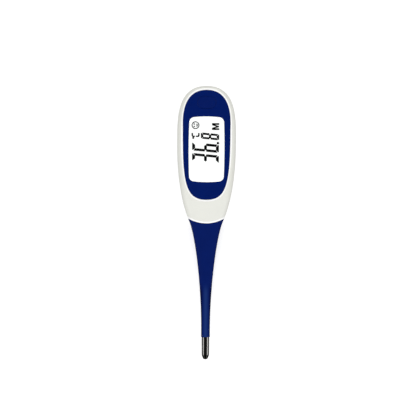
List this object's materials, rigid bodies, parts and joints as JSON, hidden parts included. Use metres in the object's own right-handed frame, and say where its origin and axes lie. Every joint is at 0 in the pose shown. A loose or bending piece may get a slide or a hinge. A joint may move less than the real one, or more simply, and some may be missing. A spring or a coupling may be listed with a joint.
{
  "type": "digital thermometer",
  "caption": "Slim flexible-tip digital thermometer: a white rounded head with a blue face and large tall display, a tapering blue stem and a steel sensor cap.",
  "frame": {"origin": "under the middle of the whole length, on the plane of the flat back that the thermometer lies on", "axes": "+X across the width, to the right seen from above with the head up; +Y from the steel tip to the head; +Z out of the display"},
  "size_m": [0.0286, 0.132, 0.013],
  "materials": {
    "white_shell": "smooth white ABS with a soft gloss",
    "blue_face": "navy moulded plastic, smooth, soft gloss",
    "blue_elastomer": "navy thermoplastic elastomer, satin",
    "clear_lens": "clear polished acrylic",
    "display_glass": "thin display glass and its polariser",
    "light_guide": "frosted acrylic light guide with a white lamp",
    "frame_plastic": "moulded off-white plastic",
    "zebra_rubber": "layered conductive silicone",
    "board_laminate": "green glass-fibre laminate",
    "chip_package": "black moulded package",
    "ceramic_part": "fired ceramic",
    "cell_steel": "nickel-plated steel can",
    "spring_steel": "plated spring steel",
    "screw_steel": "zinc-plated steel",
    "probe_steel": "polished stainless steel",
    "brass_disc": "rolled brass sheet",
    "seal_rubber": "grey silicone rubber",
    "lead_insulation": "soft insulation on fine stranded wire",
    "resin": "cured dark epoxy"
  },
  "bodies": {
    "housing": {"front_shell": "white_shell", "back_shell": "white_shell", "face_panel": "blue_face", "window_lens": "clear_lens", "lcd_polariser": "display_glass", "lcd_front_glass": "display_glass", "lcd_rear_glass": "display_glass", "lcd_frame": "frame_plastic", "light_guide": "light_guide", "backlight_led": "light_guide", "zebra_strip_left": "zebra_rubber", "zebra_strip_right": "zebra_rubber", "circuit_board": "board_laminate", "controller_chip": "chip_package", "capacitor_1": "ceramic_part", "capacitor_2": "ceramic_part", "resistor_1": "ceramic_part", "resistor_2": "ceramic_part", "board_screw_1": "screw_steel", "board_screw_2": "screw_steel", "board_screw_3": "screw_steel", "switch_base": "chip_package", "battery_cell": "cell_steel", "battery_contact_positive": "spring_steel", "battery_contact_negative": "spring_steel", "buzzer_ring": "seal_rubber", "buzzer_disc": "brass_disc", "buzzer_ceramic": "ceramic_part", "buzzer_spring_1": "spring_steel", "buzzer_spring_2": "spring_steel", "neck_core": "frame_plastic", "flex_stem_root": "blue_elastomer", "sensor_lead_left": "lead_insulation", "sensor_lead_right": "lead_insulation"},
    "button": {"power_button": "blue_face"},
    "switch": {"switch_plunger": "chip_package"},
    "battery_cover": {"battery_door": "white_shell", "door_seal": "seal_rubber", "door_screw_1": "screw_steel", "door_screw_2": "screw_steel"},
    "stem_link_1": {"flex_stem_link_1": "blue_elastomer"},
    "stem_link_2": {"flex_stem_link_2": "blue_elastomer"},
    "stem_link_3": {"flex_stem_link_3": "blue_elastomer"},
    "sensor_tip": {"flex_stem_end": "blue_elastomer", "probe_cap": "probe_steel", "tip_potting": "resin", "thermistor_bead": "resin"}
  },
  "joints": [
    {"name": "button_press", "type": "slide", "parent": "housing", "child": "button", "axis": [0, 0, -1], "range_m": [0, 0.0004], "stiffness_N_per_m": 4000},
    {"name": "switch_press", "type": "slide", "parent": "housing", "child": "switch", "axis": [0, 0, -1], "range_m": [0, 0.0004]},
    {"name": "battery_door_lift", "type": "slide", "parent": "housing", "child": "battery_cover", "axis": [0, 0, -1], "range_m": [0, 0.014]},
    {"name": "stem_bend_1", "type": "hinge", "parent": "housing", "child": "stem_link_1", "pos_m": [0, -0.0267, 0.0064], "axis": [1, 0, 0], "range_deg": [-15, 15], "stiffness_Nm_per_rad": 0.1, "deforming": ["flex_stem_link_1", "sensor_lead_left", "sensor_lead_right"]},
    {"name": "stem_bend_2", "type": "hinge", "parent": "stem_link_1", "child": "stem_link_2", "pos_m": [0, -0.034, 0.0064], "axis": [1, 0, 0], "range_deg": [-15, 15], "deforming": ["flex_stem_link_2"]},
    {"name": "stem_bend_3", "type": "hinge", "parent": "stem_link_2", "child": "stem_link_3", "pos_m": [0, -0.0413, 0.0064], "axis": [1, 0, 0], "range_deg": [-15, 15], "deforming": ["flex_stem_link_3"]},
    {"name": "stem_bend_4", "type": "hinge", "parent": "stem_link_3", "child": "sensor_tip", "pos_m": [0, -0.0485, 0.0064], "axis": [1, 0, 0], "range_deg": [-15, 15], "deforming": ["flex_stem_end"]}
  ],
  "couplings": [
    {"joint": "switch_press", "follows": "button_press", "ratio": 1},
    {"joint": "stem_bend_2", "follows": "stem_bend_1", "ratio": 1},
    {"joint": "stem_bend_3", "follows": "stem_bend_1", "ratio": 1},
    {"joint": "stem_bend_4", "follows": "stem_bend_1", "ratio": 1}
  ]
}
